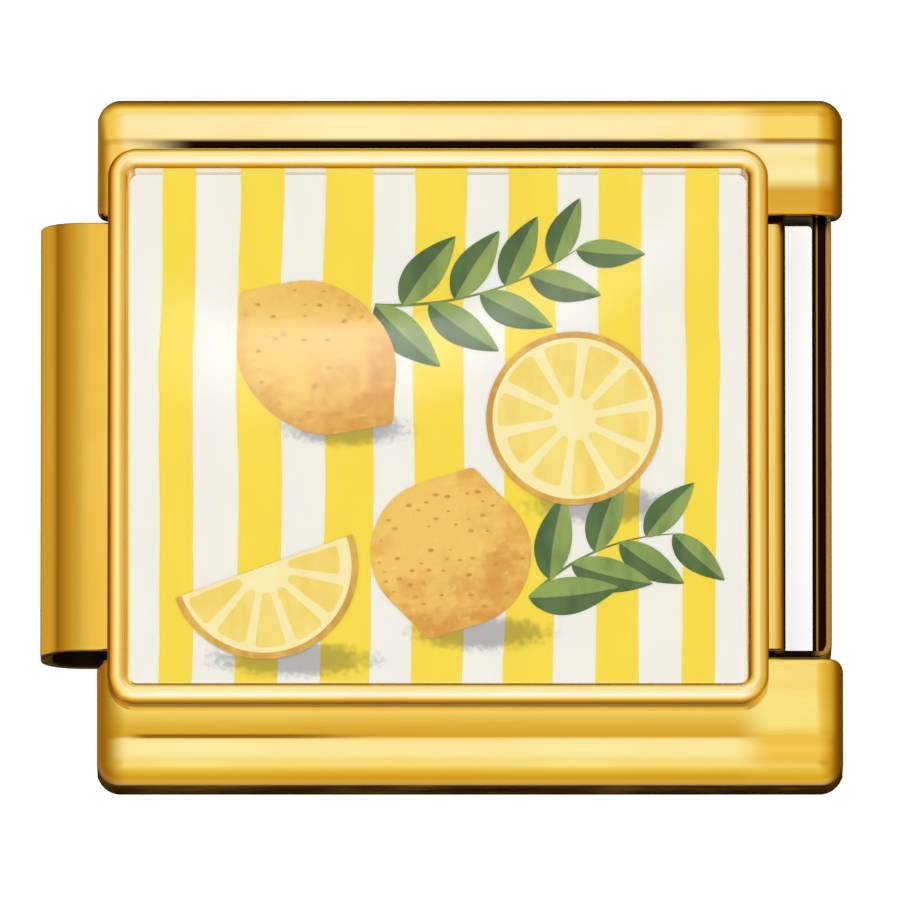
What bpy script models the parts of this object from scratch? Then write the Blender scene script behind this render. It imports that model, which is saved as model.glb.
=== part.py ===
"""Link of an expanding charm bracelet, with a framed picture under a clear cover.

The link lies face up on its sleeve. X runs along the bracelet and Y across it.
The origin is under the middle of the whole link, on the surface that it lies on.
A tray-like shell with a rail along each side carries the picture. A flat tube, the
sleeve, lies under it, half a step to the left. Two flat-wire staples hook out of the
sleeve's right end, one from each side, for the next link.
"""

import math

import bmesh
import bpy

MM = 0.001

# Driving dimensions
BAND_WIDTH = 9.00 * MM
OVERALL_LENGTH = 10.41 * MM
SHELL_LENGTH = 9.67 * MM
SLEEVE_LENGTH = 9.63 * MM
SLEEVE_WIDTH = 5.62 * MM
SLEEVE_HEIGHT = 1.60 * MM
FRAME_LENGTH = 8.56 * MM
FRAME_WIDTH = 7.29 * MM
FRAME_TOP = 2.57 * MM

# Fits between neighbouring pieces
CONTACT_GAP = 0.02 * MM
NOTCH_HALF = 2.91 * MM

# Small offsets across the bracelet, as the link is assembled
SLEEVE_SHIFT = 0.08 * MM
FRAME_SHIFT = 0.07 * MM
NOTCH_SHIFT = 0.04 * MM

# Stamped shell
SHEET = 0.20 * MM
WEB_TOP = SLEEVE_HEIGHT + CONTACT_GAP + SHEET
WEB_DISH = 0.035 * MM
BEAD_TOP = WEB_TOP + 0.095 * MM
CREASE = 3.91 * MM
BEAD_CREST = 4.25 * MM
SHELL_BOTTOM = 0.44 * MM
LOWER_ROUNDING = 0.35 * MM
NOTCH_EDGE_ROUNDING = 0.07 * MM
NOTCH_CORNER = 0.14 * MM
PLAN_CORNER = 0.30 * MM
END_ROUNDING = 0.36 * MM
ROUND_OVER_FOOT = 1.20 * MM
UPRIGHT_SHARE = 0.43
WEB_SIDE_OVERLAP = 0.30 * MM
WEB_END_INSET = 0.06 * MM
WEB_SKIN = 0.01 * MM
LIP_BOTTOM = 1.30 * MM
FLANGE_INNER = 3.25 * MM

# Sleeve
SLEEVE_SHEET = 0.16 * MM
SLEEVE_ROUNDING = 0.55 * MM

# Picture frame, picture and cover
FRAME_MIDDLE = -0.045 * MM
FRAME_CORNER = 0.38 * MM
FRAME_RIM = 0.27 * MM
PICTURE_TOP = 2.12 * MM
COVER_EDGE_TOP = 2.38 * MM
COVER_RISE = 0.12 * MM

# Staples: thin flat wire on edge, bent to a U round the sleeve's right end
WIRE = 0.085 * MM
STAPLE_BEND = 1.6 * WIRE
LEG_BOTTOM = 0.35 * MM
LEG_TOP = 1.25 * MM
OUTER_LEGS = (4.86 * MM, 5.02 * MM)
BASES = (3.13 * MM, -2.80 * MM)
TIPS = (-2.69 * MM, 3.04 * MM)
STAPLE_TRAVEL = 0.40 * MM
INNER_LEG_CLEARANCE = 0.10 * MM

# Fineness of the rounded edges
CORNER_STEPS = 8
EDGE_STEPS = 6
NOTCH_EDGE_STEPS = 3
BEAD_STEPS = 4
DOME_RINGS = 9
SMALLEST_RADIUS = 0.03 * MM

# Places worked out from the dimensions above
SHELL_RIGHT = OVERALL_LENGTH / 2
SHELL_LEFT = SHELL_RIGHT - SHELL_LENGTH
SLEEVE_LEFT = -OVERALL_LENGTH / 2
SLEEVE_RIGHT = SLEEVE_LEFT + SLEEVE_LENGTH
SLEEVE_MIDDLE = (SLEEVE_LEFT + SLEEVE_RIGHT) / 2
FRAME_BOTTOM = WEB_TOP + CONTACT_GAP
COVER_BOTTOM = PICTURE_TOP + CONTACT_GAP
LEG_TO_LEG = (max(OUTER_LEGS) + WIRE / 2 + STAPLE_TRAVEL + INNER_LEG_CLEARANCE
              - (SLEEVE_RIGHT - SLEEVE_SHEET))
STAPLE_LEVEL = (LEG_BOTTOM + LEG_TOP) / 2

# How far the cutting blocks reach past the piece that they cut
OVERSHOOT = 1.0 * MM


def clear_scene():
    """Remove the scene's objects."""
    for scene_object in list(bpy.data.objects):
        bpy.data.objects.remove(scene_object, do_unlink=True)


def principled(name, colour, metallic, roughness, transmission=0.0):
    """Make one Principled material."""
    material = bpy.data.materials.new(name)
    material.use_nodes = True
    shader = material.node_tree.nodes["Principled BSDF"]
    shader.inputs["Base Color"].default_value = (*colour, 1.0)
    shader.inputs["Metallic"].default_value = metallic
    shader.inputs["Roughness"].default_value = roughness
    shader.inputs["Transmission Weight"].default_value = transmission
    return material


def arc(centre, radii, start, end, steps=EDGE_STEPS):
    """List the points of an elliptical arc, angles in degrees."""
    points = []
    for step in range(steps + 1):
        angle = math.radians(start + (end - start) * step / steps)
        points.append((centre[0] + radii[0] * math.cos(angle),
                       centre[1] + radii[1] * math.sin(angle)))
    return points


def rounded_outline(half_x, half_y, radius, steps=CORNER_STEPS):
    """List the points of a rectangle with round corners, anticlockwise."""
    points = []
    for corner, (side_x, side_y) in enumerate(((1, 1), (-1, 1), (-1, -1), (1, -1))):
        centre = (side_x * (half_x - radius), side_y * (half_y - radius))
        points += arc(centre, (radius, radius), 90 * corner, 90 * corner + 90, steps)
    return points


def inset_outline(half_x, half_y, radius, inset):
    """List the points of the same outline moved inwards."""
    return rounded_outline(half_x - inset, half_y - inset,
                           max(radius - inset, SMALLEST_RADIUS))


def finish_mesh(name, mesh_maker, material, location=(0.0, 0.0, 0.0)):
    """Turn a bmesh into an object with outward faces and smooth shading."""
    bmesh.ops.recalc_face_normals(mesh_maker, faces=mesh_maker.faces)
    mesh = bpy.data.meshes.new(name)
    mesh_maker.to_mesh(mesh)
    mesh_maker.free()
    mesh.shade_smooth()
    mesh.set_sharp_from_angle(angle=math.radians(35))
    if material is not None:
        mesh.materials.append(material)
    piece = bpy.data.objects.new(name, mesh)
    piece.location = location
    bpy.context.scene.collection.objects.link(piece)
    return piece


def loft(name, rings, material, location=(0.0, 0.0, 0.0), closed_section=False):
    """Join rings of equally many points, and cap the ends or close the section."""
    mesh_maker = bmesh.new()
    ring_vertices = [[mesh_maker.verts.new(point) for point in ring] for ring in rings]
    pairs = list(zip(ring_vertices, ring_vertices[1:]))
    if closed_section:
        pairs.append((ring_vertices[-1], ring_vertices[0]))
    for lower, upper in pairs:
        for index in range(len(lower)):
            following = (index + 1) % len(lower)
            mesh_maker.faces.new((lower[index], lower[following],
                                  upper[following], upper[index]))
    if not closed_section:
        mesh_maker.faces.new(ring_vertices[0])
        mesh_maker.faces.new(ring_vertices[-1])
    return finish_mesh(name, mesh_maker, material, location)


def block(name, x_range, y_range, z_range):
    """Make a wire-drawn block that is only added to or cut from another piece."""
    mesh_maker = bmesh.new()
    bmesh.ops.create_cube(mesh_maker, size=1.0)
    sizes = [high - low for low, high in (x_range, y_range, z_range)]
    middle = [(low + high) / 2 for low, high in (x_range, y_range, z_range)]
    bmesh.ops.scale(mesh_maker, vec=sizes, verts=mesh_maker.verts)
    return as_tool(finish_mesh(name, mesh_maker, None, middle))


def as_tool(piece):
    """Keep a piece out of the model, for Boolean modifiers alone."""
    piece.display_type = 'WIRE'
    piece.hide_render = True
    return piece


def combine(piece, operation, tool):
    """Add a tool to a piece, or cut it away."""
    boolean = piece.modifiers.new(tool.name, 'BOOLEAN')
    boolean.operation = operation
    boolean.solver = 'EXACT'
    boolean.object = tool


def rail_section():
    """List the rail's outer section as (distance across, height) pairs.

    It starts at the notch's edge, runs over the dished web, the crease and the bead,
    down the side and back under the flange.
    """
    edge = NOTCH_HALF + NOTCH_EDGE_ROUNDING
    section = arc((edge, WEB_TOP - NOTCH_EDGE_ROUNDING),
                  (NOTCH_EDGE_ROUNDING, NOTCH_EDGE_ROUNDING), 180, 90, NOTCH_EDGE_STEPS)
    for step in range(1, EDGE_STEPS + 1):
        share = step / EDGE_STEPS
        across = edge + (CREASE - edge) * share
        section.append((across, WEB_TOP - WEB_DISH * math.sin(math.pi * share)))
    for step in range(1, BEAD_STEPS):
        share = step / BEAD_STEPS
        across = CREASE + (BEAD_CREST - CREASE) * share
        rise = 1 - (1 - share) ** 2
        section.append((across, WEB_TOP + (BEAD_TOP - WEB_TOP) * rise))
    half_width = BAND_WIDTH / 2
    foot = ROUND_OVER_FOOT + (BEAD_TOP - ROUND_OVER_FOOT) * UPRIGHT_SHARE
    section += arc((BEAD_CREST, foot), (half_width - BEAD_CREST, BEAD_TOP - foot), 90, 0)
    section += arc((half_width - LOWER_ROUNDING, SHELL_BOTTOM + LOWER_ROUNDING),
                   (LOWER_ROUNDING, LOWER_ROUNDING), 0, -90)
    section.append((NOTCH_HALF, SHELL_BOTTOM))
    return section


def rounding_drop(distance, radius):
    """How far a quarter-round edge has fallen at a distance from its end."""
    if distance >= radius:
        return 0.0
    return radius - math.sqrt(radius ** 2 - (radius - distance) ** 2)


def rail_ring(x, distance, side):
    """Place the rail's section at X, shaped for its distance from the nearer end."""
    height_left = 1 - rounding_drop(distance, END_ROUNDING) / (WEB_TOP - ROUND_OVER_FOOT)
    outer_shift = rounding_drop(distance, PLAN_CORNER)
    inner_shift = rounding_drop(distance, NOTCH_CORNER)
    ring = []
    for across, height in rail_section():
        if height > ROUND_OVER_FOOT:
            height = ROUND_OVER_FOOT + (height - ROUND_OVER_FOOT) * height_left
        if across > BEAD_CREST:
            share = (across - BEAD_CREST) / (BAND_WIDTH / 2 - BEAD_CREST)
            across -= outer_shift * share
        elif across < NOTCH_HALF + NOTCH_CORNER:
            across += inner_shift
        ring.append((x, side * across + NOTCH_SHIFT * (BAND_WIDTH / 2 - across)
                     / (BAND_WIDTH / 2 - NOTCH_HALF), height))
    return ring


def make_rail(name, side, gold):
    """Draw one rail along X, with its ends rounded down and its corners rounded off."""
    distances = [END_ROUNDING * (1 - math.cos(math.radians(90 * step / EDGE_STEPS)))
                 for step in range(EDGE_STEPS + 1)]
    rings = [rail_ring(SHELL_LEFT + distance, distance, side) for distance in distances]
    rings += [rail_ring(SHELL_RIGHT - distance, distance, side)
              for distance in reversed(distances)]
    return loft(name, rings, gold)


def make_shell(gold):
    """Join the two rails by the web, and hollow them from below."""
    shell = make_rail("shell", 1, gold)
    near_rail = as_tool(make_rail("near_rail", -1, gold))
    web_reach = NOTCH_HALF + WEB_SIDE_OVERLAP
    web_half = FRAME_LENGTH / 2 - WEB_END_INSET
    web_bottom = WEB_TOP - SHEET
    web = block("web", (FRAME_MIDDLE - web_half, FRAME_MIDDLE + web_half),
                (-web_reach, web_reach), (web_bottom + WEB_SKIN, WEB_TOP - WEB_SKIN))
    combine(shell, 'UNION', near_rail)
    combine(shell, 'UNION', web)

    along = (SHELL_LEFT - OVERSHOOT, SHELL_RIGHT + OVERSHOOT)
    inside = BAND_WIDTH / 2 - SHEET
    flange_top = SHELL_BOTTOM + SHEET
    overlap = SHEET / 4
    combine(shell, 'DIFFERENCE',
            block("channel_mouths", along, (-inside + SHEET, inside - SHEET),
                  (flange_top, LIP_BOTTOM)))
    combine(shell, 'DIFFERENCE',
            block("rail_channels", (SHELL_LEFT + PLAN_CORNER, SHELL_RIGHT - PLAN_CORNER),
                  (-inside, inside), (flange_top, web_bottom - SHEET)))
    combine(shell, 'DIFFERENCE',
            block("space_under_web", (SHELL_LEFT + SHEET, SHELL_RIGHT - SHEET),
                  (-inside + overlap + SHEET, inside - overlap - SHEET),
                  (LIP_BOTTOM - overlap, web_bottom)))
    combine(shell, 'DIFFERENCE',
            block("underside_opening", along, (-FLANGE_INNER, FLANGE_INNER),
                  (SHELL_BOTTOM - OVERSHOOT, flange_top + overlap)))
    return shell


def make_sleeve(gold):
    """Roll the flat tube under the web, open at both ends along Y."""
    half_length = SLEEVE_LENGTH / 2
    half_height = SLEEVE_HEIGHT / 2
    outer = rounded_outline(half_length, half_height, SLEEVE_ROUNDING)
    inner = inset_outline(half_length, half_height, SLEEVE_ROUNDING, SLEEVE_SHEET)
    near = -SLEEVE_WIDTH / 2
    far = SLEEVE_WIDTH / 2
    rings = []
    for outline, y in ((outer, near), (outer, far), (inner, far), (inner, near)):
        rings.append([(x, y, z) for x, z in outline])
    return loft("sleeve", rings, gold, (SLEEVE_MIDDLE, SLEEVE_SHIFT, half_height),
                closed_section=True)


def make_frame(gold):
    """Turn the raised rim with a half-round top round the picture's outline."""
    radius = FRAME_RIM / 2
    section = [(0.0, FRAME_BOTTOM)]
    section += arc((radius, FRAME_TOP - radius), (radius, radius), 180, 0, 2 * EDGE_STEPS)
    section.append((FRAME_RIM, FRAME_BOTTOM))
    rings = []
    for inset, height in section:
        outline = inset_outline(FRAME_LENGTH / 2, FRAME_WIDTH / 2, FRAME_CORNER, inset)
        rings.append([(x, y, height) for x, y in outline])
    return loft("picture_frame", rings, gold, (FRAME_MIDDLE, FRAME_SHIFT, 0.0),
                closed_section=True)


def opening_outline():
    """Give the half sizes and the corner radius of what fits inside the frame."""
    shrink = FRAME_RIM + CONTACT_GAP
    return (FRAME_LENGTH / 2 - shrink, FRAME_WIDTH / 2 - shrink, FRAME_CORNER - FRAME_RIM)


def make_picture(print_colour):
    """Make the flat plate that carries the picture."""
    outline = rounded_outline(*opening_outline())
    rings = [[(x, y, height) for x, y in outline] for height in (FRAME_BOTTOM, PICTURE_TOP)]
    return loft("picture_plate", rings, print_colour, (FRAME_MIDDLE, FRAME_SHIFT, 0.0))


def make_cover(clear):
    """Make the clear cover, flat below and slightly domed above."""
    half_x, half_y, radius = opening_outline()
    outline = rounded_outline(half_x, half_y, radius)
    rings = [[(x, y, COVER_BOTTOM) for x, y in outline]]
    for ring in range(DOME_RINGS):
        scale = 1 - ring / DOME_RINGS
        points = []
        for edge_x, edge_y in outline:
            x = edge_x * scale
            y = edge_y * scale
            dome = (1 - (x / half_x) ** 2) * (1 - (y / half_y) ** 2)
            points.append((x, y, COVER_EDGE_TOP + COVER_RISE * dome))
        rings.append(points)
    return loft("clear_cover", rings, clear, (FRAME_MIDDLE, FRAME_SHIFT, 0.0))


def make_staple(name, outer_leg, base_y, tip_y, gold):
    """Bend the flat wire into a U whose legs run across the bracelet.

    Its origin lies on the line along X that it slides on.
    """
    middle = outer_leg - LEG_TO_LEG / 2
    half_span = LEG_TO_LEG / 2
    side = 1 if base_y > tip_y else -1
    bend_x = half_span - STAPLE_BEND
    bend_y = base_y - side * STAPLE_BEND
    radii = (STAPLE_BEND, side * STAPLE_BEND)
    route = [(-half_span, tip_y)]
    route += arc((-bend_x, bend_y), radii, 180, 90)
    route += arc((bend_x, bend_y), radii, 90, 0)
    route.append((half_span, tip_y))

    rings = []
    last = len(route) - 1
    for index, (x, y) in enumerate(route):
        before = route[max(index - 1, 0)]
        after = route[min(index + 1, last)]
        heading = math.atan2(after[1] - before[1], after[0] - before[0])
        side_x = math.sin(heading) * WIRE / 2
        side_y = -math.cos(heading) * WIRE / 2
        rings.append([(x + across * side_x, y + across * side_y, height - STAPLE_LEVEL)
                      for across, height in ((-1, LEG_BOTTOM), (1, LEG_BOTTOM),
                                             (1, LEG_TOP), (-1, LEG_TOP))])
    return loft(name, rings, gold, (middle, 0.0, STAPLE_LEVEL))


def main():
    clear_scene()
    gold = principled("gold_tone_steel", (0.86, 0.55, 0.13), 1.0, 0.16)
    print_colour = principled("printed_picture", (0.90, 0.80, 0.32), 0.0, 0.45)
    clear = principled("clear_resin", (0.98, 0.98, 0.96), 0.0, 0.03, 1.0)
    make_shell(gold)
    make_sleeve(gold)
    make_frame(gold)
    make_picture(print_colour)
    make_cover(clear)
    for name, outer_leg, base_y, tip_y in zip(("far_staple", "near_staple"),
                                              OUTER_LEGS, BASES, TIPS):
        make_staple(name, outer_leg, base_y, tip_y, gold)


main()
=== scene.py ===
import math

import bmesh
import bpy
from bpy.props import FloatProperty, FloatVectorProperty, IntProperty, PointerProperty
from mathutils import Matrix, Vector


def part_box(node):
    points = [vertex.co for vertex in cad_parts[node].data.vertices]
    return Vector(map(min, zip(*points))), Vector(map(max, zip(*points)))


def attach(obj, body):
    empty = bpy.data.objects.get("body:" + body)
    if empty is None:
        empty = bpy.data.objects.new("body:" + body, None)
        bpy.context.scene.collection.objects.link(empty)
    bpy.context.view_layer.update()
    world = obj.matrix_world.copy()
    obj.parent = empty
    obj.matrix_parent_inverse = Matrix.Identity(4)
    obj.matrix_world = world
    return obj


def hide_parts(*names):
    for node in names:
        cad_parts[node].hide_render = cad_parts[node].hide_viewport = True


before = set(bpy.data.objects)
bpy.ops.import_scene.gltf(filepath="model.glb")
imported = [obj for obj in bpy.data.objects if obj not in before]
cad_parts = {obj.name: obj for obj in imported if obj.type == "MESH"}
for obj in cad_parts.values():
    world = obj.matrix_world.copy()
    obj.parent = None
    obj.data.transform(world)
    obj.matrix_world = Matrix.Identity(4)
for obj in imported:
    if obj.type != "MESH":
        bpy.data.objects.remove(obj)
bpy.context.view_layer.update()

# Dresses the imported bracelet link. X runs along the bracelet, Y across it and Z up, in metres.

bl_info = {
    "name": "Charm Bracelet Link",
    "version": (1, 0, 0),
    "blender": (4, 5, 0),
    "location": "View3D > Sidebar > Bracelet Link",
    "description": "Makes the pieces of a gold-tone charm bracelet link and their finishes",
    "category": "Add Mesh",
}

MM = 0.001
SHELL_LOW, SHELL_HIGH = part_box("shell")
SLEEVE_LOW, SLEEVE_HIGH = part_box("sleeve")
FRAME_LOW, FRAME_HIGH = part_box("picture_frame")
PLATE_LOW, PLATE_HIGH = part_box("picture_plate")
COVER_LOW, COVER_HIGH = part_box("clear_cover")
FAR_LOW, FAR_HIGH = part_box("far_staple")
NEAR_LOW, NEAR_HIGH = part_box("near_staple")


def length(name, description, default):
    """Declare a size that the panel shows as a length."""
    return FloatProperty(name=name, description=description, default=default,
                         min=0.0, unit='LENGTH', subtype='DISTANCE', precision=6)


def colour(name, description, default):
    """Declare a colour, as linear red, green and blue."""
    return FloatVectorProperty(name=name, description=description, default=default,
                               min=0.0, max=1.0, subtype='COLOR', size=3)


def share(name, description, default, highest=1.0):
    """Declare a plain number between nothing and a highest value."""
    return FloatProperty(name=name, description=description, default=default,
                         min=0.0, max=highest, precision=4)


class LinkShell(bpy.types.PropertyGroup):
    """Sizes and colours of the stamped shell."""
    sheet: length("Sheet", "Thickness of the stamped sheet", 0.20 * MM)
    notch_half: length("Notch", "Half the distance between the rails", 2.91 * MM)
    notch_edge: length("Notch Edge", "Rounding of the rails' inner edges", 0.07 * MM)
    notch_shift: length("Notch Shift", "How far the notch lies off the middle", 0.04 * MM)
    notch_corner: length("Notch Corner", "Rounding of the rails' inner corners", 0.14 * MM)
    web_top: length("Web Top", "Height of the flat part's upper side", 1.82 * MM)
    web_dish: length("Web Dish", "How deep the flat part is dished", 0.035 * MM)
    crease: length("Crease", "Distance of the crease from the middle", 3.91 * MM)
    bead_crest: length("Bead Crest", "Distance of the bead's crest from the middle", 4.25 * MM)
    plan_corner: length("Plan Corner", "Rounding of the outer corners from above", 0.30 * MM)
    end_rounding: length("End Rounding", "Rounding of the rails' ends", 0.36 * MM)
    round_over_foot: length("Round-over Foot", "Height where the ends turn upright", 1.20 * MM)
    lower_rounding: length("Lower Rounding", "Rounding of the lower edges", 0.35 * MM)
    lip_bottom: length("Lip Bottom", "Lower edge of the ends' lips", 1.30 * MM)
    flange_inner: length("Flange", "Distance of the flanges' edges from the middle", 3.25 * MM)
    gold: colour("Gold", "Colour of the polished gold tone", (0.93, 0.68, 0.25))


class LinkSleeve(bpy.types.PropertyGroup):
    """Sizes and colours of the sleeve and of the staples."""
    sheet: length("Sheet", "Thickness of the sleeve's sheet", 0.16 * MM)
    rounding: length("Rounding", "Rounding of the sleeve's long edges", 0.55 * MM)
    rim: length("Rim", "Rounding of the rims of the open ends", 0.03 * MM)
    wire: length("Wire", "Thickness of the staples' flat wire", 0.085 * MM)
    bend: length("Bend", "Rounding of the staples' bends", 0.136 * MM)
    gold: colour("Sleeve Gold", "Colour of the sleeve", (0.90, 0.60, 0.17))
    wire_gold: colour("Staple Gold", "Colour of the staples", (0.43, 0.21, 0.028))


class LinkPicture(bpy.types.PropertyGroup):
    """Sizes and colours of the frame, the print and the cover."""
    rim: length("Rim", "Width of the frame's raised rim", 0.27 * MM)
    corner: length("Corner", "Outer rounding of the frame's corners", 0.38 * MM)
    gold: colour("Frame Gold", "Colour of the frame's crest", (0.97, 0.76, 0.42))
    paper: colour("Paper", "Ground of the print", (0.91, 0.885, 0.80))
    stripe: colour("Stripe", "Colour of the stripes", (0.96, 0.735, 0.045))
    stripes: IntProperty(name="Stripes", description="How many stripes the print has",
                         default=7, min=1, max=40)
    pitch: length("Pitch", "Distance between stripes at the middle", 1.19 * MM)
    stripe_width: length("Stripe Width", "Width of the middle stripe", 0.66 * MM)
    seed: IntProperty(name="Seed", description="Draw of the hand-painted edges",
                      default=4, min=0, max=1000)
    cover_rise: length("Cover Rise", "How far the cover's middle rises", 0.12 * MM)
    cover_edge: length("Cover Edge", "Height of the cover's edge", 2.38 * MM)


class LinkStage(bpy.types.PropertyGroup):
    """Camera and light."""
    view_width: length("View Width", "Width of what the camera sees", 11.782 * MM)
    aim_across: length("Aim", "How far the view's middle lies along X", 0.1685 * MM)
    aim_up: length("Aim Up", "How far it lies up the picture", 0.1011 * MM)
    aim_height: length("Aim Height", "Height at which the view is aimed", 1.8 * MM)
    lean: share("Lean", "Degrees by which the camera leans off straight down", 9.5, 90.0)
    lens: share("Lens", "Focal length in millimetres", 1500.0, 5000.0)
    floor: colour("Floor", "Colour of the floor", (0.92, 0.92, 0.92))


def arc(centre, radii, start, end, steps):
    """List the points of an elliptical arc, angles in degrees."""
    points = []
    for step in range(steps + 1):
        angle = math.radians(start + (end - start) * step / steps)
        points.append((centre[0] + radii[0] * math.cos(angle),
                       centre[1] + radii[1] * math.sin(angle)))
    return points


def rounded_outline(half_x, half_y, radius, steps):
    """List the points of a rectangle with round corners, anticlockwise."""
    points = []
    for corner, (side_x, side_y) in enumerate(((1, 1), (-1, 1), (-1, -1), (1, -1))):
        centre = (side_x * (half_x - radius), side_y * (half_y - radius))
        points += arc(centre, (radius, radius), 90 * corner, 90 * corner + 90, steps)
    return points


def box_corners(low, high, inset):
    """List the corners of a rectangle, anticlockwise and moved inwards."""
    left, right = low[0] + inset, high[0] - inset
    near, far = low[1] + inset, high[1] - inset
    return [(left, near), (right, near), (right, far), (left, far)]


def new_piece(name, mesh, materials, body, nodes=()):
    """Make a mesh an object that rides on a body and stands for CAD nodes."""
    if not any(mesh.materials):
        mesh.materials.clear()
        for material in materials:
            mesh.materials.append(material)
    piece = bpy.data.objects.new(name, mesh)
    bpy.context.scene.collection.objects.link(piece)
    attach(piece, body)
    if nodes:
        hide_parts(*nodes)
    return piece


def shade_smoothly(mesh):
    """Shade a mesh smooth between its sharp edges."""
    sharp_angle = math.radians(35)
    mesh.shade_smooth()
    mesh.set_sharp_from_angle(angle=sharp_angle)


def close_mesh(name, maker):
    """Turn a bmesh into a mesh with outward faces and smooth shading."""
    bmesh.ops.remove_doubles(maker, verts=maker.verts, dist=1e-8)
    bmesh.ops.recalc_face_normals(maker, faces=maker.faces)
    mesh = bpy.data.meshes.new(name)
    maker.to_mesh(mesh)
    maker.free()
    shade_smoothly(mesh)
    return mesh


def loft(name, rings):
    """Join rings of equally many points, and cap both ends."""
    maker = bmesh.new()
    rows = [[maker.verts.new(point) for point in ring] for ring in rings]
    for lower, upper in zip(rows, rows[1:]):
        for index in range(len(lower)):
            following = (index + 1) % len(lower)
            maker.faces.new((lower[index], lower[following],
                             upper[following], upper[index]))
    maker.faces.new(rows[0])
    maker.faces.new(rows[-1])
    return close_mesh(name, maker)


class Wire:
    """A node's output, on which plain arithmetic makes Math nodes."""

    def __init__(self, nodes, socket):
        self.nodes, self.socket = nodes, socket

    def __add__(self, other):
        return self.nodes.math('ADD', self, other)

    def __sub__(self, other):
        return self.nodes.math('SUBTRACT', self, other)

    def __rsub__(self, other):
        return self.nodes.math('SUBTRACT', other, self)

    def __mul__(self, other):
        return self.nodes.math('MULTIPLY', self, other)

    def __truediv__(self, other):
        return self.nodes.math('DIVIDE', self, other)

    def __pow__(self, power):
        return self.nodes.math('POWER', self, power)

    def __abs__(self):
        return self.nodes.math('ABSOLUTE', self)


class Nodes:
    """Builds a node tree with short calls."""

    def __init__(self, tree):
        self.tree = tree
        tree.nodes.clear()

    def fill(self, socket, value):
        """Link a wire to an input, or give the input a value."""
        if isinstance(value, Wire):
            self.tree.links.new(value.socket, socket)
        else:
            socket.default_value = value

    def add(self, kind, inputs=None, **named):
        """Add a node. Capitalised names are its inputs, and the others its settings."""
        node = self.tree.nodes.new(kind)
        inputs = dict(inputs or {})
        for name, value in named.items():
            if name[0].isupper():
                inputs[name.replace("_", " ")] = value
            else:
                setattr(node, name, value)
        for key, value in inputs.items():
            self.fill(node.inputs[key], value)
        return node

    def get(self, kind, inputs=None, output=0, **named):
        """Add a node, and give one of its outputs."""
        return Wire(self, self.add(kind, inputs, **named).outputs[output])

    def split(self, kind, **named):
        """Add a node, and give all its outputs."""
        return [Wire(self, socket) for socket in self.add(kind, **named).outputs]

    def shape(self, kind, inputs=None, **named):
        """Add a geometry node, and give its first output."""
        return self.get('GeometryNode' + kind, inputs, **named)

    def xyz(self, vector):
        """Take a vector apart."""
        return self.split('ShaderNodeSeparateXYZ', Vector=vector)

    def vector(self, x=0.0, y=0.0, z=0.0):
        """Put a vector together."""
        return self.get('ShaderNodeCombineXYZ', X=x, Y=y, Z=z)

    def math(self, operation, first, second=0.0):
        """Add a Math node and give its result."""
        return self.get('ShaderNodeMath', {0: first, 1: second}, operation=operation)

    def ranged(self, value, low, high, to_low=0.0, to_high=1.0, smooth=True):
        """Map a value from one range to another, clamped."""
        return self.get('ShaderNodeMapRange', Value=value, From_Min=low, From_Max=high,
                        To_Min=to_low, To_Max=to_high,
                        interpolation_type='SMOOTHSTEP' if smooth else 'LINEAR')

    def mixed(self, factor, first, second, blend='MIX'):
        """Mix two colours."""
        node = self.add('ShaderNodeMix', data_type='RGBA', blend_type=blend)
        self.fill(node.inputs[0], factor)
        for socket, tone in ((node.inputs[6], first), (node.inputs[7], second)):
            self.fill(socket, tone if isinstance(tone, Wire) else (*tone[:3], 1.0))
        return Wire(self, node.outputs[2])

    def noise(self, scale, size=1.0, detail=3.0, roughness=0.5):
        """Give noise over Object coordinates in millimetres, stretched by a scale."""
        place = self.get('ShaderNodeMapping', Scale=[value / MM for value in scale],
                         Vector=self.get('ShaderNodeTexCoord', output='Object'))
        return self.get('ShaderNodeTexNoise', output='Fac', Vector=place, Scale=size,
                        Detail=detail, Roughness=roughness)

    def random(self, seed, low, high):
        """Draw one number for each point."""
        node = self.add('FunctionNodeRandomValue', data_type='FLOAT')
        for socket in node.inputs:
            if socket.enabled and socket.name in ('Min', 'Max'):
                socket.default_value = low if socket.name == 'Min' else high
        self.fill(node.inputs['Seed'], seed)
        return Wire(self, next(socket for socket in node.outputs if socket.enabled))

    def ramp(self, factor, stops):
        """Add a colour ramp with (place, colour) stops."""
        node = self.add('ShaderNodeValToRGB', Fac=factor)
        elements = node.color_ramp.elements
        while len(elements) > 1:
            elements.remove(elements[-1])
        elements[0].position = stops[0][0]
        elements[0].color = (*stops[0][1], 1.0)
        for position, tone in stops[1:]:
            elements.new(position).color = (*tone, 1.0)
        return Wire(self, node.outputs['Color'])

    def bump(self, height, strength, distance):
        """Give the normal of a fine relief."""
        return self.get('ShaderNodeBump', Strength=strength, Distance=distance,
                        Height=height)

    def surface(self, shader):
        """End a material in its surface."""
        self.add('ShaderNodeOutputMaterial', Surface=shader)

    def principled(self, **inputs):
        """End a material in a Principled surface."""
        self.surface(self.get('ShaderNodeBsdfPrincipled', **inputs))


def shader_tree(name):
    """Start a material, and give it with a builder for its nodes."""
    material = bpy.data.materials.new(name)
    material.use_nodes = True
    return material, Nodes(material.node_tree)


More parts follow.
